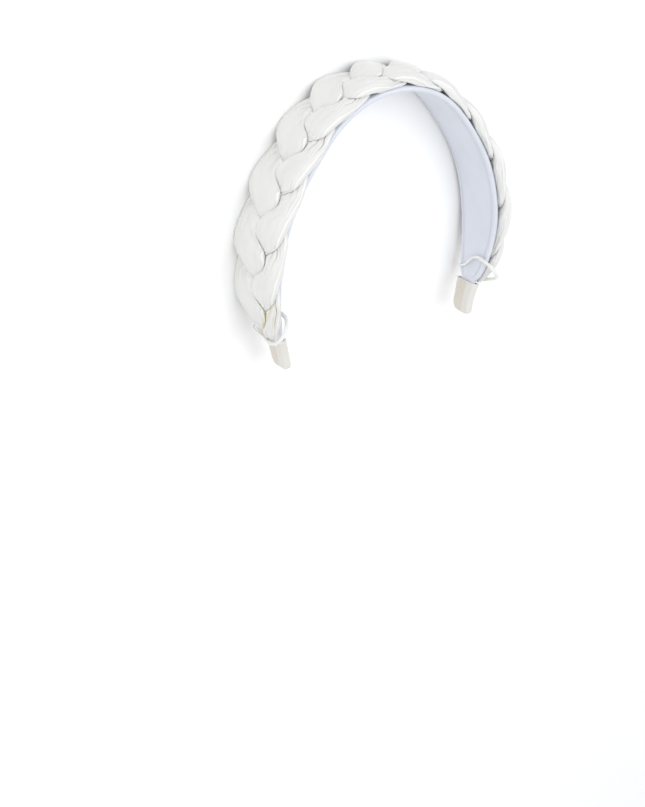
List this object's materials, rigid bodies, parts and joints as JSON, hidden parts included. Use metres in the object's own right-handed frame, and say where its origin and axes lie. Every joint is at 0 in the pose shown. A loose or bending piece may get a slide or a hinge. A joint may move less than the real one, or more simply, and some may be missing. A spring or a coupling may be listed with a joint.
{
  "type": "braided headband",
  "caption": "Arched headband of a thin flat band covered by a wide three-strand plait of padded cloth, with flat satin sleeves over both ends.",
  "frame": {"origin": "middle of the base of the bounding box: the headband lies on its back edge, the origin is on the surface it lies on", "axes": "+Z is the wearer's front (up as it lies), +Y from the two ends to the crown, +X the wearer's left, across the head"},
  "size_m": [0.1707, 0.1599, 0.0388],
  "materials": {
    "braid": "off-white satin-faced organza, soft sheen",
    "band_cover": "smooth cool-white satin",
    "sleeve": "pale beige satin"
  },
  "bodies": {
    "root": {"band": "band_cover", "strand_a": "braid", "strand_b": "braid", "strand_c": "braid", "wrap_right": "braid", "wrap_left": "braid", "sleeve_right": "sleeve", "sleeve_left": "sleeve"}
  },
  "joints": []
}
